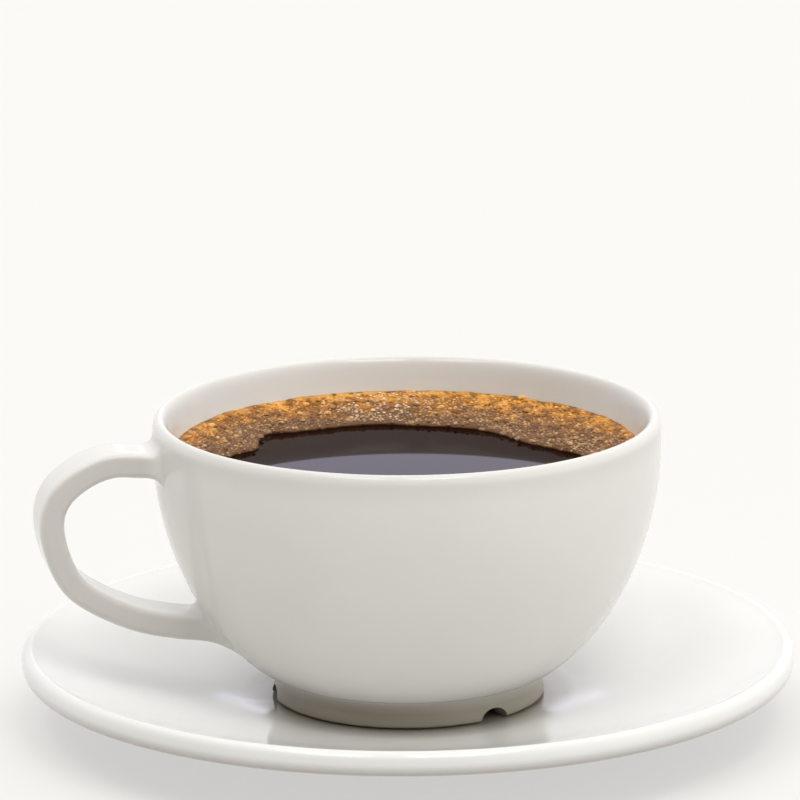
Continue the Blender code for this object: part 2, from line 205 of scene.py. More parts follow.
# Colours of the coffee and the foam
COFFEE_DEEP = (0.010, 0.002, 0.002, 1.0)
COFFEE_THIN = (0.020, 0.008, 0.005, 1.0)
AMBERS = ((0.44, 0.165, 0.020, 1.0), (0.94, 0.49, 0.095, 1.0))
BROWNS = ((0.15, 0.066, 0.024, 1.0), (0.62, 0.36, 0.17, 1.0))
WALL_AMBER = (1.0, 0.50, 0.085, 1.0)
# Paler bubbles at the back of the ring: partly their own colour, partly a painted highlight
PALE_BUBBLE_AND_HIGHLIGHT = (0.86, 0.68, 0.50, 1.0)
DARK_PORE = (0.16, 0.062, 0.018, 1.0)
LIGHT_FLECK = (1.0, 0.66, 0.32, 1.0)
BROWNER_FROM_BACK = (38.0 * MM, -5.0 * MM)
PALE_HIGHLIGHT_PATCH = (-5.5 * MM, 41.0 * MM, 56.0 * MM)
PALE_HIGHLIGHT_PATCH_RADII = (4.0 * MM, 13.0 * MM)
FOAM_PORES = 0.25 * MM

# Light: strengths, and the directions between which each patch of it fades in and out
ROOM_IN_FRONT = (0.09, 0.082, 0.070, 1.0)
WALL_BEHIND = (0.95, 0.96, 0.98, 1.0)
WALL_BEHIND_FADE = (-0.30, 0.50)
WALL_AT_RIGHT = (1.06, 1.06, 1.04, 1.0)
WALL_AT_RIGHT_FADE = (0.20, 0.80)
CEILING = (1.34, 1.33, 1.31, 1.0)
CEILING_FADE = (0.58, 0.88)
LOW_GLOW = (2.68, 2.62, 3.15, 1.0)
LOW_GLOW_ACROSS = (-0.044, -0.037, 0.037, 0.044)
LOW_GLOW_UP = (0.234, 0.240, 0.263, 0.269)
RIGHT_WINDOW = (6.6, 6.5, 6.2, 1.0)
RIGHT_WINDOW_ACROSS = (-0.005, 0.010, 0.30, 0.38)
LEFT_WINDOW = (5.2, 5.1, 4.9, 1.0)
LEFT_WINDOW_ACROSS = (-0.45, -0.38, -0.16, -0.12)
WINDOWS_UP = (0.74, 0.79, 0.93, 0.96)
FLOOR_HALF = 5.0
FLOOR_TONE = (0.36, 0.353, 0.342, 1.0)
FLOOR_GLOW = (1.0, 0.995, 0.985, 1.0)
FLOOR_GLOW_STRENGTH = 0.495

# Camera, at the photograph's viewing angle
CAMERA_TARGET = Vector((0.0, 0.0, 28.6 * MM))
CAMERA_DISTANCE = 1.2
CAMERA_ELEVATION = math.radians(15.59)
CAMERA_LENS = 269.5
CAMERA_SENSOR_WIDTH = 36.0
CAMERA_REACH = 20.0
AIM_ABOVE_TARGET = math.radians(1.741)
AIM_LEFT_OF_TARGET = math.radians(0.065)
CAMERA_ROLL = math.radians(-0.35)


# Curves

def bezier(start, start_handle, end_handle, end, steps):
    """Points of a cubic curve, both ends included."""
    t = np.linspace(0.0, 1.0, steps + 1)[:, None]
    s = 1.0 - t
    corners = [np.array(corner) for corner in (start, start_handle, end_handle, end)]
    weights = (s ** 3, 3 * s * s * t, 3 * s * t * t, t ** 3)
    points = sum(weight * corner for weight, corner in zip(weights, corners))
    return [tuple(point) for point in points]


def arc(centre, radii, start_degrees, end_degrees, steps):
    """Points of an arc of an ellipse with two radii, across and up, both ends included."""
    angles = np.radians(np.linspace(start_degrees, end_degrees, steps + 1))
    return [(centre[0] + radii[0] * math.cos(a), centre[1] + radii[1] * math.sin(a)) for a in angles]


def catmull_rom(before, start, end, after, t):
    """Value between start and end on a smooth curve through four values."""
    linear = 0.5 * (end - before) * t
    square = (before - 2.5 * start + 2.0 * end - 0.5 * after) * t * t
    cube = (1.5 * (start - end) + 0.5 * (after - before)) * t ** 3
    return start + linear + square + cube


def smooth_path(knots, steps_per_span):
    """Points of a smooth curve through the knots, both ends included."""
    knots = [np.array(knot) for knot in knots]
    padded = [knots[0]] + knots + [knots[-1]]
    points = []
    for quartet in zip(padded, padded[1:], padded[2:], padded[3:]):
        points += [catmull_rom(*quartet, step / steps_per_span) for step in range(steps_per_span)]
    points.append(knots[-1])
    return np.array(points)


def cup_inner_wall(steps):
    """Inner wall from just under the lip down to the edge of the floor."""
    top = (LIP_OUTER_RADIUS - LIP_WIDTH, LIP_BASE)
    return bezier(top, *INNER_WALL_BEND, (FLOOR_RADIUS, FLOOR_HEIGHT), steps)


def cup_outer_wall(steps):
    """Outer wall from just under the lip down to the waist over the foot ring."""
    return bezier((LIP_OUTER_RADIUS, LIP_BASE), *OUTER_WALL_BEND, (WAIST_RADIUS, WAIST_HEIGHT), steps)


FINE_INNER_WALL = np.array(cup_inner_wall(400))[::-1]
FINE_OUTER_WALL = np.array(cup_outer_wall(400))[::-1]


def inner_radius_at(height):
    """Radius of the cup's inner wall at a height."""
    return float(np.interp(height, FINE_INNER_WALL[:, 1], FINE_INNER_WALL[:, 0]))


def outer_radius_at(height):
    """Radius of the cup's outer wall at a height."""
    return float(np.interp(height, FINE_OUTER_WALL[:, 1], FINE_OUTER_WALL[:, 0]))


# Node trees

class Tree:
    """A node tree under construction: adds nodes, sets their inputs and joins them."""

    def __init__(self, tree):
        self.tree = tree

    def node(self, kind, inputs=None, **settings):
        """New node; inputs maps a socket's name or number to a value or to another socket."""
        node = self.tree.nodes.new(kind)
        for name, value in settings.items():
            setattr(node, name, value)
        for name, value in (inputs or {}).items():
            if isinstance(value, bpy.types.NodeSocket):
                self.tree.links.new(value, node.inputs[name])
            else:
                node.inputs[name].default_value = value
        return node

    def math(self, operation, first, second=0.0):
        """Output of a Math node."""
        return self.node('ShaderNodeMath', {0: first, 1: second}, operation=operation).outputs[0]

    def remap(self, value, low, high, to_low, to_high):
        """Output of a clamped Map Range node."""
        inputs = {'Value': value, 'From Min': low, 'From Max': high, 'To Min': to_low, 'To Max': to_high}
        return self.node('ShaderNodeMapRange', inputs).outputs[0]

    def mix(self, factor, first, second):
        """Output of a colour Mix node."""
        node = self.node('ShaderNodeMix', data_type='RGBA')
        for socket, value in ((node.inputs[0], factor), (node.inputs[6], first), (node.inputs[7], second)):
            if isinstance(value, bpy.types.NodeSocket):
                self.tree.links.new(value, socket)
            else:
                socket.default_value = value
        return node.outputs[2]

    def noise(self, vector, scale, detail=2.0, roughness=0.5):
        """Factor of a Noise Texture node."""
        inputs = {'Vector': vector, 'Scale': scale, 'Detail': detail, 'Roughness': roughness}
        return self.node('ShaderNodeTexNoise', inputs).outputs[0]

    def bump(self, height, strength):
        """Normal of a Bump node, for a height in metres."""
        inputs = {'Height': height, 'Strength': strength, 'Distance': 1.0}
        return self.node('ShaderNodeBump', inputs).outputs[0]


def new_geometry_tree(name, sockets):
    """Geometry Nodes group with named inputs and one geometry output."""
    group = bpy.data.node_groups.new(name, 'GeometryNodeTree')
    group.interface.new_socket("Geometry", in_out='INPUT', socket_type='NodeSocketGeometry')
    for socket_name, kind in sockets:
        group.interface.new_socket(socket_name, in_out='INPUT', socket_type=f'NodeSocket{kind}')
    group.interface.new_socket("Geometry", in_out='OUTPUT', socket_type='NodeSocketGeometry')
    tree = Tree(group)
    return tree, tree.node('NodeGroupInput').outputs


def finish_geometry_tree(tree, geometry, material):
    """Realizes the instances, sets the material and closes the tree."""
    realized = tree.node('GeometryNodeRealizeInstances', {0: geometry})
    painted = tree.node('GeometryNodeSetMaterial', {'Geometry': realized.outputs[0], 'Material': material})
    tree.node('NodeGroupOutput', {0: painted.outputs[0]})
    return tree.tree


def add_geometry_modifier(thing, group, **values):
    """Geometry Nodes modifier with its inputs set by their identifiers."""
    modifier = thing.modifiers.new(group.name, 'NODES')
    modifier.node_group = group
    for item in group.interface.items_tree:
        key = item.name.lower().replace(" ", "_")
        if item.in_out == 'INPUT' and key in values:
            modifier[item.identifier] = values[key]


def make_plain(thing):
    """Turns an object's modifiers into a plain mesh and removes them."""
    depsgraph = bpy.context.evaluated_depsgraph_get()
    mesh = bpy.data.meshes.new_from_object(thing.evaluated_get(depsgraph),
                                           preserve_all_data_layers=True, depsgraph=depsgraph)
    thing.modifiers.clear()
    thing.data = mesh
    mesh.name = thing.name


def paint(mesh, material):
    """One material on the whole mesh."""
    mesh.materials.clear()
    mesh.materials.append(material)
    mesh.polygons.foreach_set("material_index", [0] * len(mesh.polygons))


def new_object(name, mesh):
    """Object in the scene."""
    thing = bpy.data.objects.new(name, mesh)
    bpy.context.scene.collection.objects.link(thing)
    return thing


def mesh_of(name, points, faces):
    """Mesh from points and faces."""
    mesh = bpy.data.meshes.new(name)
    mesh.from_pydata([tuple(point) for point in points], [], [tuple(face) for face in faces])
    mesh.update()
    return mesh


def tube_faces(rows, count, closed):
    """Quads between rows of points; a closed tube joins its last row to its first."""
    faces = []
    for row in range(rows if closed else rows - 1):
        low, high = row * count, (row + 1) % rows * count
        for number in range(count):
            after = (number + 1) % count
            faces.append((low + number, low + after, high + after, high + number))
    return faces


def turned_tree():
    """Body turned about the axis: one row of points for each point of the profile."""
    tree, given = new_geometry_tree("turned_body", [("Segments", "Int"), ("Material", "Material")])
    rows = tree.node('GeometryNodeAttributeDomainSize', {0: given["Geometry"]}).outputs["Point Count"]
    columns = tree.math('ADD', given["Segments"], 1.0)
    grid = tree.node('GeometryNodeMeshGrid', {'Vertices X': columns, 'Vertices Y': rows})
    index = tree.node('GeometryNodeInputIndex').outputs[0]
    column = tree.math('FLOOR', tree.math('DIVIDE', tree.math('ADD', index, 0.5), rows))
    row = tree.math('SUBTRACT', index, tree.math('MULTIPLY', column, rows))
    sample = tree.node('GeometryNodeSampleIndex', data_type='FLOAT_VECTOR', domain='POINT')
    links = tree.tree.links
    links.new(given["Geometry"], sample.inputs['Geometry'])
    links.new(tree.node('GeometryNodeInputPosition').outputs[0], sample.inputs['Value'])
    links.new(row, sample.inputs['Index'])
    profile = tree.node('ShaderNodeSeparateXYZ', {0: sample.outputs[0]}).outputs
    angle = tree.math('DIVIDE', tree.math('MULTIPLY', column, math.tau), given["Segments"])
    place = tree.node('ShaderNodeCombineXYZ', {
        'X': tree.math('MULTIPLY', profile['X'], tree.math('COSINE', angle)),
        'Y': tree.math('MULTIPLY', profile['X'], tree.math('SINE', angle)),
        'Z': profile['Z'],
    }).outputs[0]
    body = tree.node('GeometryNodeSetPosition', {'Geometry': grid.outputs['Mesh'], 'Position': place})
    closed = tree.node('GeometryNodeMergeByDistance', {
        'Geometry': body.outputs[0], 'Distance': MERGE_DISTANCE})
    outward = tree.node('GeometryNodeFlipFaces', {'Mesh': closed.outputs[0]})
    smooth = tree.node('GeometryNodeSetShadeSmooth', {'Geometry': outward.outputs[0]})
    return finish_geometry_tree(tree, smooth.outputs[0], given["Material"])


def turned(name, profile, material, tree):
    """Plain mesh object turned from a profile that starts and ends on the axis."""
    points = [(radius, 0.0, height) for radius, height in profile]
    mesh = bpy.data.meshes.new(name)
    mesh.from_pydata(points, [(i, i + 1) for i in range(len(points) - 1)], [])
    thing = new_object(name, mesh)
    add_geometry_modifier(thing, tree, segments=TURNED_SEGMENTS, material=material)
    make_plain(thing)
    paint(thing.data, material)
    return thing


# Materials

def new_material(name):
    """Empty material with a Principled shader: its tree, its shader and its Object coordinates."""
    material = bpy.data.materials.new(name)
    material.use_nodes = True
    material.node_tree.nodes.clear()
    tree = Tree(material.node_tree)
    shader = tree.node('ShaderNodeBsdfPrincipled')
    tree.node('ShaderNodeOutputMaterial', {'Surface': shader.outputs[0]})
    where = tree.node('ShaderNodeTexCoord').outputs['Object']
    return material, tree, shader, where


def connect(tree, shader, **sockets):
    """Joins outputs to the shader's inputs; underscores stand for spaces."""
    for name, value in sockets.items():
        socket = shader.inputs[name.replace("_", " ")]
        if isinstance(value, bpy.types.NodeSocket):
            tree.tree.links.new(value, socket)
        else:
            socket.default_value = value


def porcelain(name, thin, pooled, gloss, sheen, foot_painted_shade, foot_shade_span, foot_shade_by):
    """White glazed porcelain: pooled glaze, faint orange peel, rare specks, painted shade at the foot and
    painted shade from the mesh's shade values.
    """
    material, tree, shader, where = new_material(name)
    pooling = tree.remap(tree.noise(where, 28.0, 3.0), 0.35, 0.65, 0.0, 1.0)
    body = tree.mix(pooling, thin, pooled)
    cells = tree.node('ShaderNodeTexVoronoi', {'Vector': where, 'Scale': 160.0}).outputs['Distance']
    rare = tree.remap(tree.noise(where, 70.0, 0.0), 0.66, 0.72, 0.0, 1.0)
    speck = tree.math('MULTIPLY', tree.remap(cells, 0.02, 0.05, 0.5, 0.0), rare)
    color = tree.mix(speck, body, GLAZE_SPECK)
    place = tree.node('ShaderNodeSeparateXYZ', {0: where}).outputs
    flat = tree.node('ShaderNodeCombineXYZ', {'X': place['X'], 'Y': place['Y']}).outputs[0]
    radius = tree.node('ShaderNodeVectorMath', {0: flat}, operation='LENGTH').outputs['Value']
    # Painted shade: the glaze darkens towards the cup's foot ring, or round the saucer's well under the cup,
    # as a contact shadow
    foot = tree.remap(radius if foot_shade_by == "radius" else place['Z'], *foot_shade_span, 0.0, 1.0)
    color = tree.mix(foot, color, foot_painted_shade)
    # Painted shade from the mesh's shade values: the saucer's underside, the strap's sides and the line under
    # the cup's lip
    shaded = tree.node('ShaderNodeAttribute', attribute_name="shade").outputs['Fac']
    color = tree.mix(shaded, color, PAINTED_SHADE_GREY)
    roughness = tree.remap(tree.noise(where, 90.0, 4.0), 0.3, 0.7, *gloss)
    waves = tree.math('MULTIPLY', tree.noise(where, 55.0, 2.0), GLAZE_WAVES)
    peel = tree.math('MULTIPLY', tree.noise(where, 420.0, 1.0), GLAZE_PEEL)
    relief = tree.bump(tree.math('ADD', waves, peel), 0.35)
    connect(tree, shader, Base_Color=color, Roughness=roughness, Normal=relief,
            IOR=1.50, Specular_IOR_Level=sheen)
    return material


def black_coffee():
    """Nearly black drink, a little browner where it thins against the foam."""
    material, tree, shader, _ = new_material("black_coffee")
    edge = tree.node('ShaderNodeAttribute', attribute_name="edge").outputs['Fac']
    color = tree.mix(edge, COFFEE_DEEP, COFFEE_THIN)
    connect(tree, shader, Base_Color=color, Roughness=0.03, IOR=1.072, Specular_IOR_Level=0.5)
    return material


def coffee_foam():
    """Amber foam, browner towards its inner edge and the camera; each bubble has its own tint."""
    material, tree, shader, where = new_material("coffee_foam")
    tint = tree.node('ShaderNodeAttribute', attribute_name="tint").outputs['Fac']
    inward = tree.node('ShaderNodeAttribute', attribute_name="inward").outputs['Fac']
    mottled = tree.noise(where, 260.0, 3.0)
    amber = tree.mix(tint, *AMBERS)
    brown = tree.mix(tint, *BROWNS)
    depth = tree.math('ADD', inward, tree.remap(mottled, 0.3, 0.7, -0.25, 0.25))
    backward = tree.node('ShaderNodeSeparateXYZ', {0: where}).outputs['Y']
    depth = tree.math('ADD', depth, tree.remap(backward, *BROWNER_FROM_BACK, 0.0, 0.40))
    color = tree.mix(tree.remap(depth, 0.25, 0.80, 0.0, 1.0), amber, brown)
    color = tree.mix(tree.remap(depth, -0.05, 0.32, 0.60, 0.0), color, WALL_AMBER)
    # Paler bubbles at the back of the ring, partly a painted highlight where light catches the big bubbles
    to_patch = tree.node('ShaderNodeVectorMath', {0: where, 1: PALE_HIGHLIGHT_PATCH}, operation='DISTANCE')
    near_patch = tree.remap(to_patch.outputs['Value'], *PALE_HIGHLIGHT_PATCH_RADII, 1.0, 0.0)
    pale = tree.math('MULTIPLY', near_patch, tree.remap(tint, 0.40, 0.75, 0.0, 1.0))
    color = tree.mix(pale, color, PALE_BUBBLE_AND_HIGHLIGHT)
    fine = tree.noise(where, 480.0, 3.0, 0.6)
    color = tree.mix(tree.remap(fine, 0.38, 0.50, 0.80, 0.0), color, DARK_PORE)
    color = tree.mix(tree.remap(fine, 0.58, 0.68, 0.0, 0.35), color, LIGHT_FLECK)
    relief = tree.bump(tree.math('MULTIPLY', tree.noise(where, 900.0, 2.0), FOAM_PORES), 0.5)
    roughness = tree.remap(tint, 0.6, 1.0, 0.5, 0.12)
    connect(tree, shader, Base_Color=color, Roughness=roughness, Normal=relief, Specular_IOR_Level=0.3)
    return material


def floor_paint():
    """Pale floor lit from below, as a light table is, so that shadows on it stay faint."""
    material, tree, shader, _ = new_material("pale_floor")
    connect(tree, shader, Base_Color=FLOOR_TONE, Roughness=0.7, Specular_IOR_Level=0.0,
            Emission_Color=FLOOR_GLOW, Emission_Strength=FLOOR_GLOW_STRENGTH)
    return material


# Pieces

def dress(piece, slot_name, *nodes):
    """Rides on the one body and hides the nodes that it stands for; the slot name is not used."""
    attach(piece, "root")
    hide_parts(*nodes)


def store(mesh, name, values):
    """Keeps one value for each point of the mesh, for its material to read."""
    attribute = mesh.attributes.new(name, 'FLOAT', 'POINT')
    attribute.data.foreach_set("value", values)


def make_saucer(tree, material):
    """Saucer: flat well, gently rising plate, rounded lip and foot ring."""
    radii = (SAUCER_LIP_WIDTH / 2, SAUCER_LIP_DEPTH / 2)
    lip = arc((SAUCER_RADIUS - radii[0], SAUCER_HEIGHT - radii[1]), radii, 120, -60, 24)
    plate = bezier((WELL_RADIUS, WELL_HEIGHT), *PLATE_BEND, lip[0], 34)
    underside = bezier(lip[-1], *UNDERSIDE_BEND, (SAUCER_FOOT_OUTER, UNDERSIDE_HEIGHT), 18)
    rounding = (SAUCER_FOOT_ROUNDING, SAUCER_FOOT_ROUNDING)
    inset = SAUCER_FOOT_TAPER + SAUCER_FOOT_ROUNDING
    outer_bend = arc((SAUCER_FOOT_OUTER - inset, SAUCER_FOOT_ROUNDING), rounding, 0, -90, 5)
    inner_bend = arc((SAUCER_FOOT_INNER + inset, SAUCER_FOOT_ROUNDING), rounding, -90, -180, 5)
    profile = [(0.0, WELL_HEIGHT), (WELL_RADIUS / 2, WELL_HEIGHT)] + plate[:-1] + lip + underside[1:]
    profile += outer_bend + inner_bend
    profile += [(SAUCER_FOOT_INNER, SAUCER_FOOT_RECESS - SAUCER_FOOT_BEVEL)]
    profile += [(SAUCER_FOOT_INNER - SAUCER_FOOT_BEVEL, SAUCER_FOOT_RECESS), (0.0, SAUCER_FOOT_RECESS)]
    saucer = turned("saucer_glazed", profile, material, tree)
    # Painted shade: the saucer's glaze darkens where it faces down, on the lip's underside and round the foot
    facing = [vertex.normal.z for vertex in saucer.data.vertices]
    darkest_facing, clear_facing = -0.55, 0.05
    store(saucer.data, "shade", np.interp(facing, (darkest_facing, clear_facing), (1.0, 0.0)))
    dress(saucer, "saucer_porcelain", "saucer")


def cup_profile():
    """Half section of the bowl: inner floor, wall, lip, outer wall and foot ring."""
    inner = [point for point in cup_inner_wall(44)[::-1] if point[1] < RIM_HEIGHT - LIP_BLEND]
    lip_middle = LIP_OUTER_RADIUS - LIP_WIDTH / 2
    start = np.array(inner[-1])
    rise = (start - np.array(inner[-2])) / np.linalg.norm(start - np.array(inner[-2]))
    lip = bezier(start, start + rise * LIP_BLEND * LIP_BLEND_PULL,
                 (lip_middle - LIP_CROWN, RIM_HEIGHT), (lip_middle, RIM_HEIGHT), 16)
    lip += arc((lip_middle, LIP_BASE), (LIP_WIDTH / 2, LIP_DEPTH / 2), 90, 0, 14)[1:]
    outer = cup_outer_wall(64)
    bend = (FOOT_ROUNDING, FOOT_ROUNDING)
    bend_height = CUP_FOOT_HEIGHT + FOOT_ROUNDING
    foot = bezier((WAIST_RADIUS, WAIST_HEIGHT), *FOOT_NECK_BEND, (FOOT_RADIUS, bend_height), 12)
    foot += arc((FOOT_RADIUS - FOOT_ROUNDING, bend_height), bend, 0, -90, 5)[1:]
    foot += arc((FOOT_INNER_RADIUS + FOOT_ROUNDING, bend_height), bend, -90, -180, 5)
    foot += bezier((FOOT_INNER_RADIUS, CUP_FOOT_HEIGHT + RECESS_WALL_FOOT), *RECESS_BEND,
                   (RECESS_EDGE_RADIUS, RECESS_HEIGHT), 6)
    return FLOOR_DISH + inner[:-1] + lip + outer[1:] + foot[1:] + [(0.0, RECESS_HEIGHT)]


def strap_outline(steps_per_corner, steps_per_face):
    """Rounded rectangle of the strap: points and outward normals."""
    radius = STRAP_EDGE_RADIUS
    half_width = STRAP_WIDTH / 2 - radius
    half_thickness = STRAP_THICKNESS / 2 - radius
    points, normals = [], []
    corners = [(1, 1, 0), (-1, 1, 90), (-1, -1, 180), (1, -1, 270)]
    for number, (side, face, start) in enumerate(corners):
        for step in range(steps_per_corner + 1):
            angle = math.radians(start + 90 * step / steps_per_corner)
            normal = (math.cos(angle), math.sin(angle))
            corner = (side * half_width, face * half_thickness)
            points.append((corner[0] + radius * normal[0], corner[1] + radius * normal[1]))
            normals.append(normal)
        following = corners[(number + 1) % 4]
        angle = math.radians(start + 90)
        normal = (math.cos(angle), math.sin(angle))
        here = np.array(points[-1])
        corner = np.array([following[0] * half_width, following[1] * half_thickness])
        there = corner + radius * np.array(normal)
        for step in range(1, steps_per_face):
            points.append(tuple(here + (there - here) * step / steps_per_face))
            normals.append(normal)
    return np.array(points), np.array(normals)


def bowl_point(point):
    """Point at the same height and azimuth, a hair inside the bowl's outer wall."""
    radius = outer_radius_at(point[2]) - SUNK_INTO_WALL
    return np.array([*(point[:2] / np.hypot(*point[:2]) * radius), point[2]])


def bowl_normal(point):
    """Outward normal of the bowl's outer wall at a point."""
    step = 0.2 * MM
    slope = (outer_radius_at(point[2] + step) - outer_radius_at(point[2] - step)) / (2 * step)
    around = point[:2] / np.hypot(*point[:2])
    normal = np.array([around[0], around[1], -slope])
    return normal / np.linalg.norm(normal)


def root_curve(line, normals, fillet):
    """Splits a line that runs along the strap towards the bowl: its points before the fillet,
    the fillet's curve down onto the wall, and the wall's normal where that curve ends."""
    outside = np.hypot(line[:, 0], line[:, 1]) - np.array([outer_radius_at(z) for z in line[:, 2]])
    last = int(np.argmax(outside < 0.0))
    share = outside[last - 1] / (outside[last - 1] - outside[last])
    corner = line[last - 1] + (line[last] - line[last - 1]) * share
    lengths = np.linalg.norm(np.diff(line[:last], axis=0), axis=1)
    away = np.linalg.norm(corner - line[last - 1]) + np.concatenate([np.cumsum(lengths[::-1])[::-1], [0.0]])
    wall_normal = bowl_normal(corner)
    across = normals[last] - wall_normal * np.dot(normals[last], wall_normal)
    across /= np.linalg.norm(across)
    start = np.array([np.interp(-fillet, -away, line[:last, axis]) for axis in range(3)])
    end = bowl_point(corner + across * fillet)
    t = np.linspace(0.0, 1.0, FILLET_STEPS + 1)[:, None]
    curve = (1 - t) ** 2 * start + 2 * (1 - t) * t * corner + t ** 2 * end
    kept = away > fillet
    return line[:last][kept], curve, bowl_normal(end)


def fillet_length(normal, lower_root):
    """Length of the fillet by where the strap's surface faces."""
    up = normal[2]
    face = FILLET_TAIL if lower_root and up < 0 else FILLET_ON_FACE
    return FILLET_ON_SIDE + (face - FILLET_ON_SIDE) * up * up


def strap_lines():
    """Lines along the strap, one for each point of its outline, each with its outward normals."""
    path = smooth_path(HANDLE_PATH, STRAP_STEPS_PER_SPAN)
    outline, outline_normals = strap_outline(STRAP_STEPS_PER_CORNER, STRAP_STEPS_PER_FACE)
    outward = np.array([math.cos(HANDLE_AZIMUTH), math.sin(HANDLE_AZIMUTH), 0.0])
    across = np.array([-outward[1], outward[0], 0.0])
    upward = np.array([0.0, 0.0, 1.0])
    tangents = np.gradient(path, axis=0)
    tangents /= np.linalg.norm(tangents, axis=1)[:, None]
    faces_out = -tangents[:, 1:] * outward + tangents[:, :1] * upward
    centres = path[:, :1] * outward + path[:, 1:] * upward
    lines = []
    for (u, v), (nu, nv) in zip(outline, outline_normals):
        lines.append((centres + across * u + faces_out * v, across * nu + faces_out * nv))
    return lines


def half_strap(lines, lower_root):
    """Rings of points of one half of the strap, from its middle to inside the bowl's wall."""
    curves = []
    for line, normals in lines:
        middle = len(line) // 2
        rows = slice(middle, None) if lower_root else slice(middle, None, -1)
        fillet = fillet_length(normals[rows][-3], lower_root)
        curves.append(root_curve(line[rows], normals[rows], fillet))
    before_fillet = min(len(straight) for straight, _, _ in curves)
    rings = [[straight[number] for straight, _, _ in curves] for number in range(before_fillet)]
    rings += [[bend[number] for _, bend, _ in curves] for number in range(FILLET_STEPS + 1)]
    rings.append([bend[-1] - wall_normal * ROOT_DEPTH for _, bend, wall_normal in curves])
    return rings


def handle_mesh():
    """Strap with fillets at both roots, closed inside the bowl's wall."""
    lines = strap_lines()
    rings = half_strap(lines, lower_root=False)[::-1] + half_strap(lines, lower_root=True)[1:]
    count = len(lines)
    points = [point for ring in rings for point in ring]
    faces = tube_faces(len(rings), count, closed=False)
    faces.append(range(count))
    faces.append(range(len(points) - count, len(points)))
    return mesh_of("handle", points, faces)


def notch_cutter(index):
    """Low arch across the foot ring."""
    bm = bmesh.new()
    bmesh.ops.create_cone(bm, cap_ends=True, segments=NOTCH_SEGMENTS, radius1=NOTCH_WIDTH / 2,
                          radius2=NOTCH_WIDTH / 2, depth=FOOT_RADIUS - FOOT_INNER_RADIUS + NOTCH_OVERCUT)
    for vert in bm.verts:
        vert.co = Vector((vert.co.z, vert.co.y, -vert.co.x * NOTCH_RISE / (NOTCH_WIDTH / 2)))
    azimuth = NOTCH_FIRST_AZIMUTH + index * math.tau / NOTCH_COUNT
    middle = (FOOT_RADIUS + FOOT_INNER_RADIUS) / 2
    place = Vector((middle * math.cos(azimuth), middle * math.sin(azimuth), CUP_FOOT_HEIGHT))
    bm.transform(Matrix.Translation(place) @ Matrix.Rotation(azimuth, 4, 'Z'))
    mesh = bpy.data.meshes.new("notch_cutter")
    bm.to_mesh(mesh)
    bm.free()
    return new_object("notch_cutter", mesh)


def cup_shade(vertex):
    """Painted shade: greyer glaze on the sides of the strap and in a line under the lip."""
    radius = math.hypot(vertex.co.x, vertex.co.y)
    outside = radius - outer_radius_at(vertex.co.z)
    across = -vertex.normal.x * math.sin(HANDLE_AZIMUTH) + vertex.normal.y * math.cos(HANDLE_AZIMUTH)
    on_strap = np.interp(outside, (0.5 * MM, 4.0 * MM), (0.0, 1.0))
    side = np.interp(abs(across), (0.45, 0.95), (0.0, STRAP_SIDE_PAINTED_SHADE)) * on_strap
    line = np.interp(vertex.co.z, UNDER_LIP_SHADE_LINE, (0.0, UNDER_LIP_PAINTED_SHADE, UNDER_LIP_PAINTED_SHADE, 0.0))
    return max(side, line if abs(outside) < 0.3 * MM else 0.0)


def make_cup(tree, material):
    """Bowl with foot ring and notches, and the handle grown out of its wall."""
    cup = turned("cup_glazed", cup_profile(), material, tree)
    cutters = [notch_cutter(index) for index in range(NOTCH_COUNT)]
    for cutter in cutters:
        modifier = cup.modifiers.new("notch", 'BOOLEAN')
        modifier.operation = 'DIFFERENCE'
        modifier.object = cutter
    make_plain(cup)
    for cutter in cutters:
        bpy.data.objects.remove(cutter)
    bm = bmesh.new()
    bm.from_mesh(cup.data)
    handle = handle_mesh()
    bm.from_mesh(handle)
    bmesh.ops.recalc_face_normals(bm, faces=bm.faces)
    bm.to_mesh(cup.data)
    bm.free()
    bpy.data.meshes.remove(handle)
    paint(cup.data, material)
    cup.data.shade_smooth()
    cup.data.set_sharp_from_angle(angle=SHARP_ANGLE)
    # Painted shade on the strap's sides and under the lip
    store(cup.data, "shade", [cup_shade(vertex) for vertex in cup.data.vertices])
    dress(cup, "cup_porcelain", "cup")


def foam_width(azimuth):
    """Width of the foam ring at an azimuth, on a smooth curve through the stated widths."""
    degrees = math.degrees(azimuth) % 360.0
    angles = [angle for angle, _ in FOAM_WIDTHS]
    count = len(FOAM_WIDTHS)
    after = int(np.searchsorted(angles, degrees, side='right'))
    widths = [FOAM_WIDTHS[(after + step) % count][1] for step in (-2, -1, 0, 1)]
    low = angles[(after - 1) % count]
    span = (angles[after % count] - low) % 360.0
    return catmull_rom(*widths, ((degrees - low) % 360.0) / span)


def foam_edge(azimuth):
    """Radius of the foam's inner edge, with the small unevenness of its bubbles."""
    place = Vector((math.cos(azimuth), math.sin(azimuth), 0.0)) * EDGE_WAVES_ROUND
    ragged = EDGE_WAVE * noise.noise(place) + EDGE_GRAIN * noise.noise(place * EDGE_GRAIN_FINENESS)
    return inner_radius_at(COFFEE_LEVEL) - foam_width(azimuth) + ragged


def foam_top(radius, azimuth, inward):
    """Height of the foam's top, where inward runs from 0 at the wall to 1 at its edge."""
    rise = FOAM_RISE_AT_EDGE + (FOAM_RISE_AT_WALL - FOAM_RISE_AT_EDGE) * (1.0 - inward) ** FOAM_HOLLOW
    place = Vector((radius * math.cos(azimuth), radius * math.sin(azimuth), 0.0))
    lumps = FOAM_LUMP * noise.noise(place / FOAM_LUMP_PITCH)
    grain = FOAM_GRAIN * noise.noise(place / FOAM_GRAIN_PITCH)
    return COFFEE_LEVEL + rise + (lumps + grain)


def lather_at(inward):
    """How thickly bubbles lie: full in the middle of the ring, none at its two edges."""
    return float(np.interp(inward, LATHER_SPAN, (0.0, 1.0, 1.0, 0.0)))


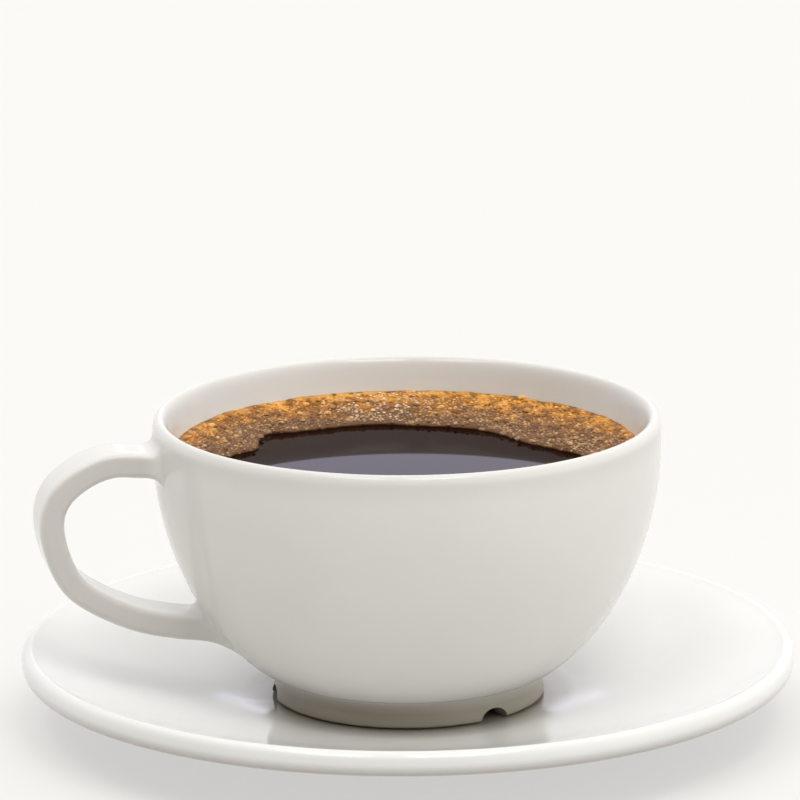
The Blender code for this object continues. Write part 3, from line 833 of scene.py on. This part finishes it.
def foam_ring():
    """Ring of foam without its bubbles: how far inward and how thickly lathered each point is."""
    points, inwards, lathers = [], [], []
    for index in range(FOAM_SECTIONS):
        azimuth = math.tau * index / FOAM_SECTIONS
        edge = foam_edge(azimuth)
        wall = inner_radius_at(COFFEE_LEVEL + FOAM_RISE_AT_WALL)
        section = [(edge + FOAM_UNDERCUT, COFFEE_LEVEL - FOAM_SOAK, 1.0, 0.0)]
        section.append((inner_radius_at(COFFEE_LEVEL), COFFEE_LEVEL - FOAM_SOAK, 0.0, 0.0))
        for step in range(FOAM_STEPS + 1):
            inward = FOAM_TOP_SHARE * step / FOAM_STEPS
            radius = wall + (edge - wall) * inward
            section.append((radius, foam_top(radius, azimuth, inward), inward, lather_at(inward)))
        for back, rise in FOAM_FRONT:
            section.append((edge + back, COFFEE_LEVEL + rise, 1.0, 0.0))
        for radius, height, inward, lather in section:
            points.append((radius * math.cos(azimuth), radius * math.sin(azimuth), height))
            inwards.append(inward)
            lathers.append(lather)
    mesh = mesh_of("foam", points, tube_faces(FOAM_SECTIONS, len(section), closed=True))
    store(mesh, "inward", inwards)
    store(mesh, "lather", lathers)
    mesh.shade_smooth()
    return mesh


def bubble_tree():
    """Bubbles scattered on the top of the foam, each a dome with its own tint."""
    tree, given = new_geometry_tree("foam_bubbles", [
        ("Density", "Float"), ("Spacing", "Float"), ("Smallest", "Float"), ("Largest", "Float"),
        ("Segments", "Int"), ("Rings", "Int"), ("Seed", "Int"), ("Material", "Material")])
    lather = tree.node('GeometryNodeInputNamedAttribute', {'Name': "lather"}, data_type='FLOAT')
    scatter = tree.node('GeometryNodeDistributePointsOnFaces', distribute_method='POISSON')
    links = tree.tree.links
    links.new(given["Geometry"], scatter.inputs['Mesh'])
    links.new(given["Spacing"], scatter.inputs['Distance Min'])
    links.new(given["Density"], scatter.inputs['Density Max'])
    links.new(lather.outputs['Attribute'], scatter.inputs['Density Factor'])
    links.new(given["Seed"], scatter.inputs['Seed'])
    random_tint = tree.node('FunctionNodeRandomValue', {'Seed': given["Seed"]}, data_type='FLOAT')
    tinted = tree.node('GeometryNodeStoreNamedAttribute', {
        'Geometry': scatter.outputs['Points'], 'Name': "tint", 'Value': random_tint.outputs[1]},
        data_type='FLOAT', domain='POINT')
    size_seed = tree.math('ADD', given["Seed"], SIZE_SEED_OFFSET)
    chance = tree.node('FunctionNodeRandomValue', {'Seed': size_seed}, data_type='FLOAT').outputs[1]
    skewed = tree.math('POWER', chance, BUBBLE_SIZE_SKEW)
    size = tree.math('ADD', given["Smallest"], tree.math(
        'MULTIPLY', skewed, tree.math('SUBTRACT', given["Largest"], given["Smallest"])))
    sphere = tree.node('GeometryNodeMeshUVSphere', {'Segments': given["Segments"], 'Rings': given["Rings"],
                                                   'Radius': 1.0})
    place = tree.node('GeometryNodeInputPosition').outputs[0]
    height = tree.node('ShaderNodeSeparateXYZ', {0: place}).outputs['Z']
    below = tree.node('FunctionNodeCompare', {0: height, 1: DOME_CUT}, data_type='FLOAT',
                      operation='LESS_THAN')
    dome = tree.node('GeometryNodeDeleteGeometry', {'Geometry': sphere.outputs['Mesh'],
                                                    'Selection': below.outputs[0]}, domain='POINT')
    flat = tree.node('GeometryNodeTransform', {
        'Geometry': dome.outputs[0], 'Scale': (1.0, 1.0, DOME_FLATNESS)})
    instances = tree.node('GeometryNodeInstanceOnPoints', {
        'Points': tinted.outputs[0], 'Instance': flat.outputs[0], 'Scale': size})
    smooth = tree.node('GeometryNodeSetShadeSmooth', {'Geometry': instances.outputs[0]})
    realized = tree.node('GeometryNodeRealizeInstances', {0: smooth.outputs[0]})
    no_lather = tree.node('GeometryNodeStoreNamedAttribute', {
        'Geometry': realized.outputs[0], 'Name': "lather", 'Value': 0.0}, data_type='FLOAT', domain='POINT')
    joined = tree.node('GeometryNodeJoinGeometry')
    links.new(given["Geometry"], joined.inputs[0])
    links.new(no_lather.outputs[0], joined.inputs[0])
    return finish_geometry_tree(tree, joined.outputs[0], given["Material"])


def make_foam(material):
    """Foam ring covered with layers of ever smaller bubbles."""
    foam = new_object("foam_bubbled", foam_ring())
    tree = bubble_tree()
    for layer in BUBBLE_LAYERS:
        add_geometry_modifier(foam, tree, material=material, **layer)
    make_plain(foam)
    paint(foam.data, material)
    dress(foam, "foam", "foam")


def make_coffee(material):
    """Drink: its surface climbs a little where it wets the foam, and it fills the bowl below."""
    centre_rows = np.linspace(0.0, 1.0, COFFEE_STEPS + 1)[1:] ** 0.5
    points, edges = [(0.0, 0.0, COFFEE_LEVEL)], [0.0]
    wall = [(r, z) for r, z in cup_inner_wall(60) if z < COFFEE_LEVEL - COFFEE_CLEARANCE]
    for index in range(FOAM_SECTIONS):
        azimuth = math.tau * index / FOAM_SECTIONS
        edge = foam_edge(azimuth)
        section = []
        for row in centre_rows:
            radius = edge * row
            wet = math.exp(-(edge - radius) / WETTING_REACH)
            section.append((radius, COFFEE_LEVEL + WETTING_CLIMB * wet, wet))
        section.append((edge + COFFEE_UNDER_FOAM, COFFEE_LEVEL + CLIMB_UNDER_FOAM, 1.0))
        section.append((inner_radius_at(COFFEE_LEVEL), COFFEE_LEVEL - DROP_AT_WALL, 1.0))
        section += [(radius, height, 1.0) for radius, height in wall]
        for radius, height, wet in section:
            points.append((radius * math.cos(azimuth), radius * math.sin(azimuth), height))
            edges.append(wet)
    points.append((0.0, 0.0, FLOOR_HEIGHT - COFFEE_CLEARANCE))
    edges.append(1.0)
    count = len(section)
    faces = []
    for index in range(FOAM_SECTIONS):
        low, high = 1 + index * count, 1 + ((index + 1) % FOAM_SECTIONS) * count
        faces.append((0, low, high))
        faces += [(low + n, low + n + 1, high + n + 1, high + n) for n in range(count - 1)]
        faces.append((low + count - 1, len(points) - 1, high + count - 1))
    mesh = mesh_of("coffee", points, faces)
    store(mesh, "edge", edges)
    paint(mesh, material)
    mesh.shade_smooth()
    dress(new_object("coffee_drink", mesh), "coffee", "coffee")


# Stage

def make_floor():
    """Plain pale floor."""
    corners = [(across * FLOOR_HALF, along * FLOOR_HALF, 0.0)
               for across, along in ((-1, -1), (1, -1), (1, 1), (-1, 1))]
    floor = new_object("floor", mesh_of("floor", corners, [(0, 1, 2, 3)]))
    paint(floor.data, floor_paint())


def band(tree, value, start, full_from, full_to, end):
    """1 between two values, fading to 0 on both sides."""
    return tree.math('MULTIPLY', tree.remap(value, start, full_from, 0.0, 1.0),
                     tree.remap(value, end, full_to, 0.0, 1.0))


def make_light():
    """Room round the cup: bright behind, at the right and overhead, dim in front, with two high
    windows at the front and a low glow straight behind that the coffee reflects."""
    world = bpy.data.worlds.new("studio")
    bpy.context.scene.world = world
    world.use_nodes = True
    world.node_tree.nodes.clear()
    tree = Tree(world.node_tree)
    ray = tree.node('ShaderNodeTexCoord').outputs['Generated']
    part = tree.node('ShaderNodeSeparateXYZ', {0: ray}).outputs
    behind = tree.remap(part['Y'], *WALL_BEHIND_FADE, 0.0, 1.0)
    room = tree.mix(behind, ROOM_IN_FRONT, WALL_BEHIND)
    right = tree.remap(part['X'], *WALL_AT_RIGHT_FADE, 0.0, 1.0)
    room = tree.mix(right, room, WALL_AT_RIGHT)
    overhead = tree.remap(part['Z'], *CEILING_FADE, 0.0, 1.0)
    light = tree.mix(overhead, room, CEILING)
    glow = tree.math('MULTIPLY', band(tree, part['X'], *LOW_GLOW_ACROSS), band(tree, part['Z'], *LOW_GLOW_UP))
    glow = tree.math('MULTIPLY', glow, tree.remap(part['Y'], 0.0, 0.1, 0.0, 1.0))
    light = tree.mix(glow, light, LOW_GLOW)
    front_top = tree.math('MULTIPLY', tree.remap(part['Y'], 0.0, -0.1, 0.0, 1.0),
                          band(tree, part['Z'], *WINDOWS_UP))
    for strength, across in ((RIGHT_WINDOW, RIGHT_WINDOW_ACROSS), (LEFT_WINDOW, LEFT_WINDOW_ACROSS)):
        window = tree.math('MULTIPLY', front_top, band(tree, part['X'], *across))
        light = tree.mix(window, light, strength)
    background = tree.node('ShaderNodeBackground', {'Color': light, 'Strength': 1.0})
    tree.node('ShaderNodeOutputWorld', {'Surface': background.outputs[0]})


def make_camera():
    """Camera at the photograph's viewing angle."""
    data = bpy.data.cameras.new("camera")
    data.lens = CAMERA_LENS
    data.sensor_width = CAMERA_SENSOR_WIDTH
    data.clip_end = CAMERA_REACH
    camera = new_object("camera", data)
    backwards = Vector((0.0, -math.cos(CAMERA_ELEVATION), math.sin(CAMERA_ELEVATION)))
    place = CAMERA_TARGET + CAMERA_DISTANCE * backwards
    tilt = math.pi / 2 - (CAMERA_ELEVATION - AIM_ABOVE_TARGET)
    aim = Matrix.Rotation(AIM_LEFT_OF_TARGET, 4, 'Z') @ Matrix.Rotation(tilt, 4, 'X')
    camera.matrix_world = Matrix.Translation(place) @ aim @ Matrix.Rotation(CAMERA_ROLL, 4, 'Z')
    bpy.context.scene.camera = camera


bpy.context.scene.view_settings.view_transform = 'Standard'
make_camera()
make_floor()
make_light()
turning = turned_tree()
make_saucer(turning, porcelain("saucer_glaze", **SAUCER_GLAZE))
make_cup(turning, porcelain("cup_glaze", **CUP_GLAZE_SHADED))
make_coffee(black_coffee())
make_foam(coffee_foam())
